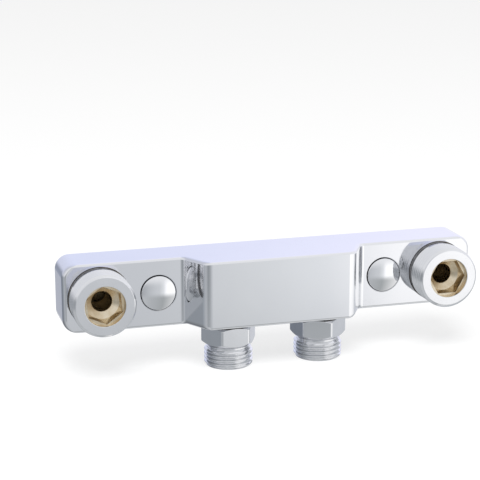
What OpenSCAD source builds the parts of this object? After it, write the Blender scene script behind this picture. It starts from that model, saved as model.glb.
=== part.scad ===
/* [Bar] */
// Length of the bar from end to end
bar_length = 180.4; // [178:0.2:220]
// Height of the bar and of the block
bar_height = 29.4; // [28.6:0.2:36]
// Depth of the bar from the wall to its front
bar_depth = 18; // [17:0.5:24]
// Radius of the bar's corners, seen from the front
bar_corner_r = 6; // [3:0.5:9]
// Radius of the upright edges between the front and the ends
end_edge_r = 2.5; // [1:0.25:4]
// Radius of the long edges above and below the front
long_edge_r = 1.2; // [0.5:0.1:2]
// Thickness of the cast walls around the waterways
wall = 2.6; // [2:0.1:3]
// Thickness of the cast wall around the outlet sockets
socket_wall = 3; // [2.8:0.1:3.4]

/* [Centre block] */
// How far the block stands out from the bar's front
block_projection = 12; // [10:0.25:14]
// Width of the block's front between its sharp corners
block_front_width = 64.8; // [61:0.4:67]
// Lean of the block's sides away from square, in degrees
block_side_angle = 30; // [10:1:33]
// Radius of the block's upright front corners
block_corner_r = 4.5; // [2:0.5:6]
// Radius where the block's sides run into the bar's front
block_root_r = 2.5; // [1:0.25:3.5]
// Thickness of the web between the two waterways
web = 4.6; // [3:0.2:8]

/* [Outlets] */
// Distance between the outlet centres
outlet_spacing = 150; // [144:0.5:152]
// How far the outlet nipples stand out from the bar's front
outlet_reach = 13.2; // [11:0.2:18]
// Outer radius of the union thread
outlet_thread_r = 13.15; // [12.6:0.05:13.3]
// Distance from one turn of the union thread to the next
outlet_thread_pitch = 1.814; // [1.2:0.002:2]
// Radius of the flat front face
outlet_face_r = 12.24; // [11.4:0.02:12.5]
// Radius of the nipple's mouth
outlet_mouth_r = 8.44; // [8.3:0.02:9.4]
// Depth of the round mouth in front of the key socket
outlet_mouth_depth = 1.8; // [1:0.1:3]
// Width across the flats of the key socket
key_width = 14; // [12:0.5:14.2]
// Depth of the key socket, from the front face
key_depth = 6.6; // [4:0.2:8]
// Radius of the water bore
outlet_bore_r = 4.25; // [3:0.05:5.5]
// Outer radius of the screw-in stub
outlet_stub_r = 10.48; // [9.5:0.02:11]
// Length of the screw-in stub behind the bar's front
outlet_stub_length = 8; // [6:0.25:9.5]
// Turn of the left and of the right nipple when it is tight, in degrees
outlet_turn = [36, 0]; // [0:1:59]

/* [Inlets] */
// Distance between the inlet centres
inlet_spacing = 40; // [38:0.5:42]
// Distance of the inlet centres from the wall
inlet_setback = 18; // [15:0.25:18.75]
// Width across the flats of the inlet hexagon
inlet_hex_width = 21; // [20.8:0.1:22.4]
// Height of the inlet hexagon, with its chamfers
inlet_hex_height = 9.2; // [7:0.2:14]
// Outer radius of the supply pipe thread
inlet_thread_r = 10.38; // [10:0.02:10.48]
// Distance from one turn of the pipe thread to the next
inlet_thread_pitch = 1.814; // [1.2:0.002:2]
// Length of the pipe thread, with the groove above it
inlet_thread_length = 9.1; // [7:0.1:16]
// Radius of the water bore
inlet_bore_r = 5.6; // [4:0.1:6.4]
// Outer radius of the screw-in stub
inlet_stub_r = 8.33; // [7.8:0.01:8.8]
// Distance from one turn of the stub's thread to the next
inlet_stub_pitch = 1.337; // [0.9:0.001:1.5]
// Length of the screw-in stub inside the block
inlet_stub_length = 9; // [7:0.25:10]
// Turn of the left and of the right nipple when it is tight, in degrees
inlet_turn = [-2, 19]; // [-30:1:30]

/* [Seals] */
// Thickness of the flat sealing rings
seal_thickness = 1.2; // [1:0.1:1.6]
// How much of a sealing ring shows outside its seat
seal_shows = 0.4; // [0.2:0.05:0.6]

/* [Screw caps] */
// Distance between the two wall screws
screw_spacing = 100; // [97.5:0.5:103]
// Radius of the holes for the wall screws
screw_hole_r = 2.75; // [2:0.05:3.4]
// Radius of the cap's face
cap_r = 7.3; // [6.6:0.05:7.6]
// How far the middle of the cap stands out from the bar's front
cap_rise = 1.1; // [0.8:0.05:2]
// Height of the cap's edge above the bar's front
cap_edge_rise = 0.3; // [0.1:0.05:0.5]
// Thickness of the cap's face at its edge
cap_thickness = 1.6; // [1.2:0.1:2.2]
// Length of the cap's skirt behind its face
cap_skirt_length = 3.1; // [2.6:0.1:3.6]
// Thickness of the rubber ring around the skirt
cap_ring_thickness = 1.6; // [1:0.1:1.9]
// Depth of the screw recess behind the bar's front
recess_depth = 7.5; // [6.6:0.1:8.5]

/* [Fits] */
// Gap between a cap and the wall of its recess
cap_gap = 0.3; // [0.15:0.05:0.5]
// Gap around the screw-in stubs in their sockets
stub_gap = 0.06; // [0.03:0.01:0.15]
// Gap around the sealing rings in their seats
seal_gap = 0.3; // [0.1:0.05:0.4]

/* [Hidden] */
$fn = 96;

// The wall is the plane y = 0, the front faces -y, and z = 0 is the height of the outlet centres
left = -1;
right = 1;
block_depth = bar_depth + block_projection;
half_length = bar_length / 2;
half_height = bar_height / 2;
outlet_x = outlet_spacing / 2;
inlet_x = inlet_spacing / 2;
screw_x = screw_spacing / 2;
beyond = 1;

// Whitworth form: the depth, one flank and one crest of a turn, as shares of the pitch
thread_depth_share = 0.6403;
flank_share = 1 / 3;
crest_share = 1 / 6;
end_bevel = 1;
bore_bevel = 0.5;
stub_groove_length = 1.2;

// Sealing rings and their seats
seal_seat_depth = seal_thickness - seal_shows;
outlet_seal_r = outlet_thread_r - seal_gap;
inlet_seal_r = inlet_hex_width / 2 - seal_gap;

// Outlet nipple, heights counted outwards from the bar's front
outlet_groove_length = 1.2;
outlet_root_r = outlet_thread_r - thread_depth_share * outlet_thread_pitch;
key_corner_r = key_width / 2 / cos(30);
drill_point_angle = 31;
outlet_socket_depth = outlet_stub_length + beyond;

// Inlet nipple, heights counted downwards from the block's underside
inlet_hex_corner_r = inlet_hex_width / 2 / cos(30);
inlet_corner_trim = 0.25;
inlet_hex_end = seal_shows + inlet_hex_height;
inlet_top_bevel_angle = 30;
inlet_bottom_bevel_angle = 38;
inlet_groove_length = 0.9;
inlet_root_r = inlet_thread_r - thread_depth_share * inlet_thread_pitch;
inlet_neck_r = inlet_root_r - 0.4;
inlet_end = inlet_hex_end + inlet_thread_length;
inlet_socket_depth = inlet_stub_length + beyond;

// Screw recess, cap and the rubber ring in the cap's groove
recess_r = cap_r + cap_gap;
recess_bevel = 0.3;
cap_groove_setback = 0.5;
cap_ring_r = recess_r - stub_gap - cap_ring_thickness / 2;
cap_skirt_r = cap_ring_r + cap_ring_thickness / 8;
cap_groove_r = cap_ring_r - cap_ring_thickness / 2 - stub_gap;
cap_groove_length = cap_ring_thickness + 2 * stub_gap;
cap_skirt_wall = 0.9;
cap_hollow_r = cap_groove_r - cap_skirt_wall;
dome_height = cap_rise - cap_edge_rise;
dome_r = (cap_r * cap_r + dome_height * dome_height) / (2 * dome_height);

// Waterways
gallery_half_height = half_height - wall;
gallery_front = bar_depth - wall;
gallery_end = outlet_x + outlet_stub_r;
chamber_end = block_front_width / 2 - wall;
gallery_start = chamber_end - 2 * wall;
chamber_floor = inlet_socket_depth - half_height;

// Rectangle between two corners
module box_between(low, high) {
  translate(low) cube(high - low);
}

// Flat rectangle with round corners, centred
module rounded_rectangle(width, height, r) {
  square([width - 2 * r, height], center = true);
  square([width, height - 2 * r], center = true);
  for (x = [-1, 1], y = [-1, 1])
    translate([x * (width / 2 - r), y * (height / 2 - r)]) circle(r = r);
}

module on_both_sides() {
  children();
  mirror([1, 0, 0]) children();
}

// Places a shape made along +z on the bar's front, pointing at the viewer
module on_front(x) {
  translate([x, -bar_depth, 0]) rotate([90, 0, 0]) children();
}

// Places a shape made along +z under the block, pointing down
module under_block(x) {
  translate([x, -inlet_setback, -half_height]) rotate([180, 0, 0]) children();
}

// One side of a thread's section, from its first turn on: pairs of radius and height
function thread_outline(r, pitch, from, turns) = [
  for (turn = [0:turns - 1])
    let (h = from + turn * pitch, root = r - thread_depth_share * pitch)
      each [
        [root, h],
        [r, h + flank_share * pitch],
        [r, h + (flank_share + crest_share) * pitch],
        [root, h + (2 * flank_share + crest_share) * pitch]
      ]
];

// The bar from the front, from above and from the end
module bar() {
  intersection() {
    rotate([90, 0, 0])
      linear_extrude(bar_depth) rounded_rectangle(bar_length, bar_height, bar_corner_r);
    translate([0, 0, -half_height]) linear_extrude(bar_height)
      rounded_rectangle(bar_length, 2 * bar_depth, end_edge_r);
    translate([-half_length, 0, 0]) rotate([90, 0, 90]) linear_extrude(bar_length)
      rounded_rectangle(2 * bar_depth, bar_height, long_edge_r);
  }
}

// Half of the block from above, with a round front corner and a hollow root
module half_block_plan() {
  turn = 90 - block_side_angle;
  front = [block_front_width / 2, -block_depth];
  along = [sin(block_side_angle), cos(block_side_angle)];
  root = front + along * block_projection / cos(block_side_angle);
  corner_run = block_corner_r * tan(turn / 2);
  root_run = block_root_r * tan(turn / 2);
  corner_start = front - [corner_run, 0];
  corner_finish = front + along * corner_run;
  root_start = root - along * root_run;
  root_finish = root + [root_run, 0];
  polygon([
    [0, -wall], [0, -block_depth], corner_start, corner_finish, root_start, root,
    [root[0], -wall]
  ]);
  translate(corner_start + [0, block_corner_r]) circle(r = block_corner_r);
  difference() {
    polygon([root_start, root_finish, root_finish + [0, wall], root + [0, wall], root]);
    translate(root_finish - [0, block_root_r]) circle(r = block_root_r);
  }
}

module block() {
  intersection() {
    translate([0, 0, -half_height]) linear_extrude(bar_height) on_both_sides() half_block_plan();
    translate([-half_length, 0, 0]) rotate([90, 0, 90]) linear_extrude(bar_length)
      rounded_rectangle(2 * block_depth, bar_height, long_edge_r);
  }
}

// One side's waterway: a chamber over the inlet and a gallery behind the screw recess to the outlet
module waterway() {
  difference() {
    union() {
      box_between(
        [web / 2, -(block_depth - wall), chamber_floor],
        [chamber_end, -wall, gallery_half_height]);
      box_between(
        [gallery_start, -gallery_front, -gallery_half_height],
        [gallery_end, -wall, gallery_half_height]);
    }
    on_front(screw_x) {
      translate([0, 0, -recess_depth - wall]) cylinder(r = recess_r + wall, h = bar_depth);
      translate([0, 0, -bar_depth]) cylinder(r = screw_hole_r + wall, h = bar_depth);
    }
    on_front(outlet_x) translate([0, 0, -outlet_socket_depth])
      cylinder(r = outlet_stub_r + socket_wall, h = bar_depth);
  }
}

// One side's holes from outside: outlet socket, inlet socket, screw recess and screw hole
module openings() {
  on_front(outlet_x) {
    translate([0, 0, -outlet_socket_depth - beyond])
      cylinder(r = outlet_stub_r + stub_gap, h = outlet_socket_depth + 2 * beyond);
    translate([0, 0, -seal_seat_depth]) cylinder(r = outlet_seal_r + seal_gap, h = bar_depth);
  }
  under_block(inlet_x) {
    translate([0, 0, -inlet_socket_depth - beyond])
      cylinder(r = inlet_stub_r + stub_gap, h = inlet_socket_depth + 2 * beyond);
    translate([0, 0, -seal_seat_depth]) cylinder(r = inlet_seal_r + seal_gap, h = bar_height);
  }
  on_front(screw_x) {
    translate([0, 0, -recess_depth]) cylinder(r = recess_r, h = bar_depth);
    translate([0, 0, -recess_bevel])
      cylinder(r1 = recess_r, r2 = recess_r + 2 * recess_bevel, h = 2 * recess_bevel);
    translate([0, 0, -bar_depth - beyond]) cylinder(r = screw_hole_r, h = bar_depth);
  }
}

module bracket_body() {
  color("#d4d8e4") difference() {
    union() {
      bar();
      block();
    }
    on_both_sides() {
      waterway();
      openings();
    }
  }
}

// Half the section of the outlet nipple: stub, groove, union thread and flat front
module outlet_nipple_section() {
  stub_end = -outlet_stub_length;
  stub_turns = floor((outlet_stub_length - stub_groove_length) / outlet_thread_pitch);
  stub_root_r = outlet_stub_r - thread_depth_share * outlet_thread_pitch;
  thread_start = seal_shows + outlet_groove_length;
  turns = ceil((outlet_reach - thread_start) / outlet_thread_pitch);
  intersection() {
    polygon(concat(
      [[0, stub_end]],
      thread_outline(outlet_stub_r, outlet_thread_pitch, stub_end, stub_turns),
      [[stub_root_r, seal_shows], [outlet_root_r, seal_shows]],
      thread_outline(outlet_thread_r, outlet_thread_pitch, thread_start, turns),
      [[0, thread_start + turns * outlet_thread_pitch]]
    ));
    polygon([
      [0, stub_end], [outlet_stub_r - end_bevel, stub_end], [outlet_stub_r, stub_end + end_bevel],
      [outlet_stub_r, seal_shows], [outlet_thread_r, seal_shows],
      [outlet_thread_r, outlet_reach - end_bevel], [outlet_face_r, outlet_reach], [0, outlet_reach]
    ]);
  }
}

// Outlet nipple, bored from its stub and with a key socket and a round mouth in front
module outlet_nipple(turn) {
  color("#d8dade") rotate([0, 0, turn]) difference() {
    rotate_extrude() outlet_nipple_section();
    translate([0, 0, -outlet_stub_length - beyond])
      cylinder(r = outlet_bore_r, h = outlet_stub_length + outlet_reach);
    translate([0, 0, outlet_reach - key_depth]) {
      cylinder(r = key_width / 2, h = key_depth + beyond);
      cylinder(r = key_corner_r, h = key_depth + beyond, $fn = 6);
      translate([0, 0, -tan(drill_point_angle) * key_width / 2])
        cylinder(r1 = 0, r2 = key_width / 2, h = tan(drill_point_angle) * key_width / 2);
    }
    translate([0, 0, outlet_reach - outlet_mouth_depth])
      cylinder(r = outlet_mouth_r, h = outlet_mouth_depth + beyond);
  }
}

module flat_ring(inner_r, outer_r) {
  color("#3c3c3e") translate([0, 0, -seal_seat_depth]) difference() {
    cylinder(r = outer_r, h = seal_thickness);
    translate([0, 0, -beyond]) cylinder(r = inner_r, h = seal_thickness + 2 * beyond);
  }
}

module outlet_seal() {
  flat_ring(outlet_stub_r + stub_gap, outlet_seal_r);
}

module inlet_seal() {
  flat_ring(inlet_stub_r + stub_gap, inlet_seal_r);
}

// Hexagon with its corners trimmed and its ends bevelled
module inlet_hexagon() {
  corner_r = inlet_hex_corner_r - inlet_corner_trim;
  top_bevel = (corner_r - inlet_seal_r) * tan(inlet_top_bevel_angle);
  bottom_bevel = (corner_r - inlet_root_r) * tan(inlet_bottom_bevel_angle);
  intersection() {
    translate([0, 0, seal_shows])
      cylinder(r = inlet_hex_corner_r, h = inlet_hex_height, $fn = 6);
    rotate_extrude() polygon([
      [0, seal_shows], [inlet_seal_r, seal_shows], [corner_r, seal_shows + top_bevel],
      [corner_r, inlet_hex_end - bottom_bevel], [inlet_root_r, inlet_hex_end], [0, inlet_hex_end]
    ]);
  }
}

// Half the section of the inlet nipple without its hexagon: stub, neck and pipe thread
module inlet_nipple_section() {
  stub_end = -inlet_stub_length;
  stub_turns = floor((inlet_stub_length - stub_groove_length) / inlet_stub_pitch);
  stub_root_r = inlet_stub_r - thread_depth_share * inlet_stub_pitch;
  neck_start = seal_shows + beyond;
  thread_start = inlet_hex_end + inlet_groove_length;
  turns = ceil((inlet_end - thread_start) / inlet_thread_pitch);
  intersection() {
    polygon(concat(
      [[0, stub_end]],
      thread_outline(inlet_stub_r, inlet_stub_pitch, stub_end, stub_turns),
      [
        [stub_root_r, neck_start], [inlet_neck_r, neck_start], [inlet_neck_r, thread_start],
        [inlet_root_r, thread_start]
      ],
      thread_outline(inlet_thread_r, inlet_thread_pitch, thread_start, turns),
      [[0, thread_start + turns * inlet_thread_pitch]]
    ));
    polygon([
      [0, stub_end], [inlet_stub_r - end_bevel, stub_end], [inlet_stub_r, stub_end + end_bevel],
      [inlet_stub_r, neck_start], [inlet_thread_r, neck_start],
      [inlet_thread_r, inlet_end - end_bevel], [inlet_thread_r - end_bevel, inlet_end],
      [0, inlet_end]
    ]);
  }
}

// Inlet nipple, bored right through
module inlet_nipple(turn) {
  color("#c9ccd2") rotate([0, 0, turn]) difference() {
    union() {
      inlet_hexagon();
      rotate_extrude() inlet_nipple_section();
    }
    translate([0, 0, -inlet_stub_length - beyond])
      cylinder(r = inlet_bore_r, h = inlet_stub_length + inlet_end + 2 * beyond);
    translate([0, 0, inlet_end - bore_bevel])
      cylinder(r1 = inlet_bore_r, r2 = inlet_bore_r + 2 * bore_bevel, h = 2 * bore_bevel);
  }
}

// Cap: domed face with a hollow skirt, grooved for its rubber ring
module screw_cap() {
  face_back = cap_edge_rise - cap_thickness;
  groove_front = face_back - cap_groove_setback;
  skirt_back = face_back - cap_skirt_length;
  color("#dfe1e6") rotate_extrude() difference() {
    union() {
      intersection() {
        translate([0, cap_rise - dome_r]) circle(r = dome_r, $fn = 360);
        translate([0, face_back]) square([cap_r, cap_thickness + dome_height]);
      }
      translate([0, skirt_back]) square([cap_skirt_r, cap_skirt_length]);
    }
    translate([cap_groove_r, groove_front - cap_groove_length]) square([cap_r, cap_groove_length]);
    translate([0, skirt_back - beyond]) square([cap_hollow_r, cap_skirt_length + beyond]);
    translate([-dome_r, skirt_back - dome_r]) square([dome_r, 3 * dome_r]);
  }
}

// Rubber ring in the cap's groove
module cap_ring() {
  ring_h = cap_edge_rise - cap_thickness - cap_groove_setback - cap_groove_length / 2;
  color("#2a2a2c") translate([0, 0, ring_h]) rotate_extrude()
    translate([cap_ring_r, 0]) circle(r = cap_ring_thickness / 2);
}

bracket_body();
on_front(left * outlet_x) outlet_nipple(outlet_turn[0]);  // outlet_nipple_left
on_front(right * outlet_x) outlet_nipple(outlet_turn[1]);  // outlet_nipple_right
on_front(left * outlet_x) outlet_seal();  // outlet_seal_left
on_front(right * outlet_x) outlet_seal();  // outlet_seal_right
under_block(left * inlet_x) inlet_nipple(inlet_turn[0]);  // inlet_nipple_left
under_block(right * inlet_x) inlet_nipple(inlet_turn[1]);  // inlet_nipple_right
under_block(left * inlet_x) inlet_seal();  // inlet_seal_left
under_block(right * inlet_x) inlet_seal();  // inlet_seal_right
on_front(left * screw_x) screw_cap();  // screw_cap_left
on_front(right * screw_x) screw_cap();  // screw_cap_right
on_front(left * screw_x) cap_ring();  // cap_ring_left
on_front(right * screw_x) cap_ring();  // cap_ring_right
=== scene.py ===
# Wall bracket for a two-pipe mixer tap: chromed body, threaded nipples, caps, seals and rings
import math

import bpy
import numpy as np
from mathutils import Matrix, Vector, geometry


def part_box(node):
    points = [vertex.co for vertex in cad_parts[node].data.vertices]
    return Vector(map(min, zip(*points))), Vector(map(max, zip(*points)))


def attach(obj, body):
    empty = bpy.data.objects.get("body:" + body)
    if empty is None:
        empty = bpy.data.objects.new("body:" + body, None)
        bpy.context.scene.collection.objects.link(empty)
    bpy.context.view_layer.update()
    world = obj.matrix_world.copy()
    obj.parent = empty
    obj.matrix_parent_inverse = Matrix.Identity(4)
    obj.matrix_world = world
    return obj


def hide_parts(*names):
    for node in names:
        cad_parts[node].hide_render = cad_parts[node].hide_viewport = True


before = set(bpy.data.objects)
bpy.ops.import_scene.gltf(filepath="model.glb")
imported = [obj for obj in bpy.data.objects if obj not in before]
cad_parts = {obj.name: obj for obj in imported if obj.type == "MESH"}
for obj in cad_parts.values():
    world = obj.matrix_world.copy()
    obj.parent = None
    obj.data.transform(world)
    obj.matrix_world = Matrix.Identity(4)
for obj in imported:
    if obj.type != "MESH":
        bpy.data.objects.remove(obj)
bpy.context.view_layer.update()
print("frame loaded:", len(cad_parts), "nodes")

mm = 0.001          # the pieces are drawn in millimetres and shown in metres
weldGrid = 1e-4     # points closer than this become one
roundSteps = 96     # columns round a turned part
arcSteps = 6        # facets in a small rounded edge
sides = {"left": -1, "right": 1}


# Surfaces are gathered in a skin: points, faces, and for every face corner a normal and a wear mask
def newSkin():
    return {"points": [], "faces": [], "normals": [], "wear": [], "finish": [], "count": 0}


def addPatch(skin, points, normals, wear, finish=0, closed=False):
    # one smooth grid of rows and columns, with its own exact normals
    points = np.asarray(points, float)
    normals = np.asarray(normals, float)
    normals = normals / np.linalg.norm(normals, axis=2, keepdims=True)
    wear = np.broadcast_to(np.asarray(wear, float), points.shape[:2])
    rows, columns = points.shape[:2]
    start = skin["count"]
    skin["points"].append(points.reshape(-1, 3))
    skin["count"] += rows * columns
    lastColumn = columns if closed else columns - 1
    for row in range(rows - 1):
        for column in range(lastColumn):
            after = (column + 1) % columns
            corners = [(row, column), (row, after), (row + 1, after), (row + 1, column)]
            across = points[corners[2]] - points[corners[0]]
            along = points[corners[3]] - points[corners[1]]
            facing = sum(normals[c] for c in corners)
            if np.dot(np.cross(across, along), facing) < 0:
                corners.reverse()
            skin["faces"].append([start + r * columns + c for r, c in corners])
            skin["normals"].append([normals[c] for c in corners])
            skin["wear"].append([wear[c] for c in corners])
            skin["finish"].append(finish)


def isInside(point, loop):
    # even-odd rule: a ray along the first axis leaves a closed loop through an odd number of sides
    after = np.roll(loop, -1, axis=0)
    crosses = (loop[:, 1] > point[1]) != (after[:, 1] > point[1])
    rise = np.where(crosses, after[:, 1] - loop[:, 1], 1.0)
    meets = loop[:, 0] + (point[1] - loop[:, 1]) / rise * (after[:, 0] - loop[:, 0])
    return np.count_nonzero(crosses & (meets > point[0])) % 2 == 1


def addFlat(skin, outline, holes, normal, wear=0.0, finish=0):
    # one flat face with round holes; the outline and the holes are loops of points in the plane
    normal = np.asarray(normal, float)
    side = np.array([1.0, 0.0, 0.0]) if abs(normal[0]) < 0.5 else np.array([0.0, 1.0, 0.0])
    up = np.cross(normal, side)
    loops = [np.asarray(loop, float) for loop in [outline, *holes]]
    everyPoint = np.concatenate(loops)
    flat = np.stack([everyPoint @ side, everyPoint @ up], axis=1)
    centre = flat.mean(axis=0)
    edges = []
    first = 0
    for loop in loops:
        count = len(loop)
        edges += [(first + i, first + (i + 1) % count) for i in range(count)]
        first += count
    shown = [Vector(p - centre) for p in flat]
    triangles = geometry.delaunay_2d_cdt(shown, edges, [], 1, 1e-5, True)
    back = [ids[0] for ids in triangles[3]]
    rings = [(loop.mean(axis=0), np.linalg.norm(loop - loop.mean(axis=0), axis=1).max()) for loop in loops[1:]]
    start = skin["count"]
    skin["points"].append(everyPoint)
    skin["count"] += len(everyPoint)
    for face in triangles[2]:
        corners = [back[i] for i in face]
        middle = everyPoint[corners].mean(axis=0)
        if any(np.linalg.norm(middle - c) < r for c, r in rings):
            continue
        if not isInside(flat[corners].mean(axis=0), flat[:len(outline)]):
            continue
        a, b, c = (everyPoint[i] for i in corners[:3])
        if np.dot(np.cross(b - a, c - a), normal) < 0:
            corners.reverse()
        skin["faces"].append([start + i for i in corners])
        skin["normals"].append([normal] * len(corners))
        skin["wear"].append([wear] * len(corners))
        skin["finish"].append(finish)


def skinToObject(skin, name, materials):
    points = np.concatenate(skin["points"])
    grid = np.round(points / weldGrid).astype(np.int64)
    _, kept, place = np.unique(grid, axis=0, return_index=True, return_inverse=True)
    place = place.ravel()
    faces, normals, wear, finish = [], [], [], []
    for face, faceNormals, faceWear, faceFinish in zip(
            skin["faces"], skin["normals"], skin["wear"], skin["finish"]):
        corners = [place[i] for i in face]
        keep = [i for i in range(len(corners)) if corners[i] != corners[i - 1]]
        if len(keep) < 3 or len(set(corners[i] for i in keep)) < len(keep):
            continue
        faces.append([int(corners[i]) for i in keep])
        normals += [faceNormals[i] for i in keep]
        wear += [faceWear[i] for i in keep]
        finish.append(faceFinish)
    mesh = bpy.data.meshes.new(name)
    mesh.from_pydata((points[kept] * mm).tolist(), [], faces)
    mesh.polygons.foreach_set("material_index", finish)
    mesh.polygons.foreach_set("use_smooth", [True] * len(faces))
    mask = mesh.attributes.new("edge", "FLOAT", "CORNER")
    mask.data.foreach_set("value", np.array(wear, np.float32))
    mesh.normals_split_custom_set([tuple(n) for n in normals])
    for material in materials:
        mesh.materials.append(material)
    piece = bpy.data.objects.new(name, mesh)
    bpy.context.scene.collection.objects.link(piece)
    return piece


# A turned part stands in its own frame: u and v across it, w along its axis
def onFront(x, front):
    return {"origin": np.array([x, front, 0.0]), "u": np.array([1.0, 0, 0]), "v": np.array([0, 0, 1.0]),
            "w": np.array([0, -1.0, 0])}


def underBlock(x, y, underside):
    return {"origin": np.array([x, y, underside]), "u": np.array([1.0, 0, 0]), "v": np.array([0, -1.0, 0]),
            "w": np.array([0, 0, -1.0])}


def roundedProfile(corners):
    # corners are (radius, height, rounding); the outside lies to the right of the way they run
    points = [np.array(c[:2], float) for c in corners]
    ways = [(b - a) / np.linalg.norm(b - a) for a, b in zip(points, points[1:])]
    profile = []

    def add(point, normal, wear):
        if profile and np.linalg.norm(profile[-1][0] - point) < 1e-9:
            return
        profile.append((point, normal, wear))

    def right(way):
        return np.array([way[1], -way[0]])

    add(points[0], right(ways[0]), 0.0)
    for i in range(1, len(points) - 1):
        before, after = ways[i - 1], ways[i]
        turn = math.atan2(before[0] * after[1] - before[1] * after[0], float(before @ after))
        rounding = corners[i][2]
        reach = rounding * math.tan(abs(turn) / 2)
        bend = 1 if turn > 0 else -1
        start = points[i] - before * reach
        middle = start - right(before) * rounding * bend
        for step in range(arcSteps + 1):
            share = step / arcSteps
            c, s = math.cos(turn * share), math.sin(turn * share)
            n = right(before)
            normal = np.array([n[0] * c - n[1] * s, n[0] * s + n[1] * c])
            wear = math.sin(math.pi * share) if turn > 0 else 0.0
            add(middle + normal * rounding * bend, normal, wear)
    add(points[-1], right(ways[-1]), 0.0)
    return profile


def roundColumns(turn=0.0, steps=None):
    steps = steps or roundSteps
    return [(math.cos(turn + 2 * math.pi * i / steps), math.sin(turn + 2 * math.pi * i / steps))
            for i in range(steps)]


def circleLoop(place, radius, height=0.0, turn=0.0, steps=None):
    return [place["origin"] + place["u"] * (radius * c) + place["v"] * (radius * s) + place["w"] * height
            for c, s in roundColumns(turn, steps)]


def turnPart(skin, place, corners, finish=0, turn=0.0, steps=None):
    profile = roundedProfile(corners)
    columns = roundColumns(turn, steps)
    points, normals, wear = [], [], []
    for (radius, height), (out, along), worn in profile:
        points.append([place["origin"] + place["u"] * (radius * c) + place["v"] * (radius * s)
                       + place["w"] * height for c, s in columns])
        normals.append([place["u"] * (out * c) + place["v"] * (out * s) + place["w"] * along
                        for c, s in columns])
        wear.append([worn] * len(columns))
    addPatch(skin, points, normals, wear, finish, closed=True)


# Whitworth thread: one pitch of the round-crested profile, as depth below the crest and slope
def threadTurn(pitch):
    depth = 0.6403 * pitch
    arc = 0.1373 * pitch
    lean = math.radians(62.5)
    run = arc * math.sin(lean)
    rows = []
    for step in range(5):
        a = lean * (step / 2 - 1)
        rows.append((arc * math.sin(a), arc * (1 - math.cos(a)), a))
    for step in range(5):
        a = lean * (1 - step / 2)
        rows.append((pitch / 2 - arc * math.sin(a), depth - arc * (1 - math.cos(a)), a))
    return [(h - rows[0][0], d, a) for h, d, a in rows]


def threadPart(skin, place, crest, pitch, start, end, endRadius, endBevel, finish=0, turn=0.0, steps=None):
    # a right-hand helix between two heights; both ends are cut by bevels
    steps = steps or roundSteps
    rows = threadTurn(pitch)
    heights = [h for h, d, a in rows] + [pitch]
    depths = [d for h, d, a in rows] + [rows[0][1]]
    root = crest - 0.6403 * pitch
    turns = int(math.ceil((end - start) / pitch)) + 2
    slope = (crest - endRadius) / endBevel
    endNormal = np.array([1.0, slope]) / math.hypot(1, slope)
    startNormal = np.array([1.0, -1.0]) / math.sqrt(2)
    points, normals, wear = [], [], []
    for lap in range(turns):
        for h, d, a in rows:
            rowPoints, rowNormals, rowWear = [], [], []
            for column in range(steps + 1):
                share = column / steps
                angle = turn + 2 * math.pi * share
                height = min(max(start + (lap - 1 + share) * pitch + h, start), end)
                inTurn = (height - start - share * pitch) % pitch
                radius = crest - float(np.interp(inTurn, heights, depths))
                normal = np.array([math.cos(a), math.sin(a)])
                startLimit = root + (height - start)
                endLimit = crest if height < end - endBevel else crest - slope * (height - end + endBevel)
                if startLimit < radius:
                    radius, normal = startLimit, startNormal
                if endLimit < radius:
                    radius, normal = endLimit, endNormal
                c, s = math.cos(angle), math.sin(angle)
                rowPoints.append(place["origin"] + place["u"] * (radius * c) + place["v"] * (radius * s)
                                 + place["w"] * height)
                rowNormals.append(place["u"] * (normal[0] * c) + place["v"] * (normal[0] * s)
                                  + place["w"] * normal[1])
                rowWear.append(max(0.0, 1 - 6 * d / pitch))
            points.append(rowPoints)
            normals.append(rowNormals)
            wear.append(rowWear)
    addPatch(skin, points, normals, wear, finish)
    return points[0], points[-1]


# Bracket body: a bar with a thicker block, drawn as plan outlines that pull in towards the top and the bottom
bodyLow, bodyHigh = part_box("bracket_body")
halfLength = bodyHigh.x / mm
halfHeight = bodyHigh.z / mm
blockDepth = -bodyLow.y / mm
body = {
    "barDepth": 18.0,
    "cornerRound": 6.0,           # the bar's corners, seen from the front
    "endRound": 2.5,              # upright edges of the ends, as seen from above
    "endRoundAcross": 1.75,       # the same edges, measured along the bar
    "edgeRound": 1.2,             # long edges above and below the front
    "sideEdgeRoundTop": 1.5,      # edges above the block's slanted sides
    "sideEdgeRoundBottom": 2.3,   # edges below them, polished rounder
    "blockWidth": 64.8,
    "blockSideAngle": 30.0,
    "blockCornerRound": 4.5,
    "blockRootRound": 2.5,
    "outletSpacing": 150.0,
    "inletSpacing": 40.0,
    "inletSetback": 18.0,
    "screwSpacing": 100.0,
    "outletSeat": (13.15, 0.8),   # radius and depth
    "outletSocket": (10.54, 9.0),
    "inletSeat": (10.5, 0.8),
    "inletSocket": (8.39, 10.0),
    "recess": (7.6, 7.5),
    "recessBevel": 0.3,
    "screwHole": 2.75,
    "rim": 0.12,                  # broken edge of each drilled seat
    "wall": 2.6,
}


def roundEdge(z, radius):
    # how far a rounded edge has pulled in at height z, and how steeply
    rise = abs(z) - (halfHeight - radius)
    if rise <= 0:
        return 0.0, 0.0
    drop = math.sqrt(max(radius * radius - rise * rise, 0.0))
    return radius - drop, rise / max(drop, radius * 0.004)


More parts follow.
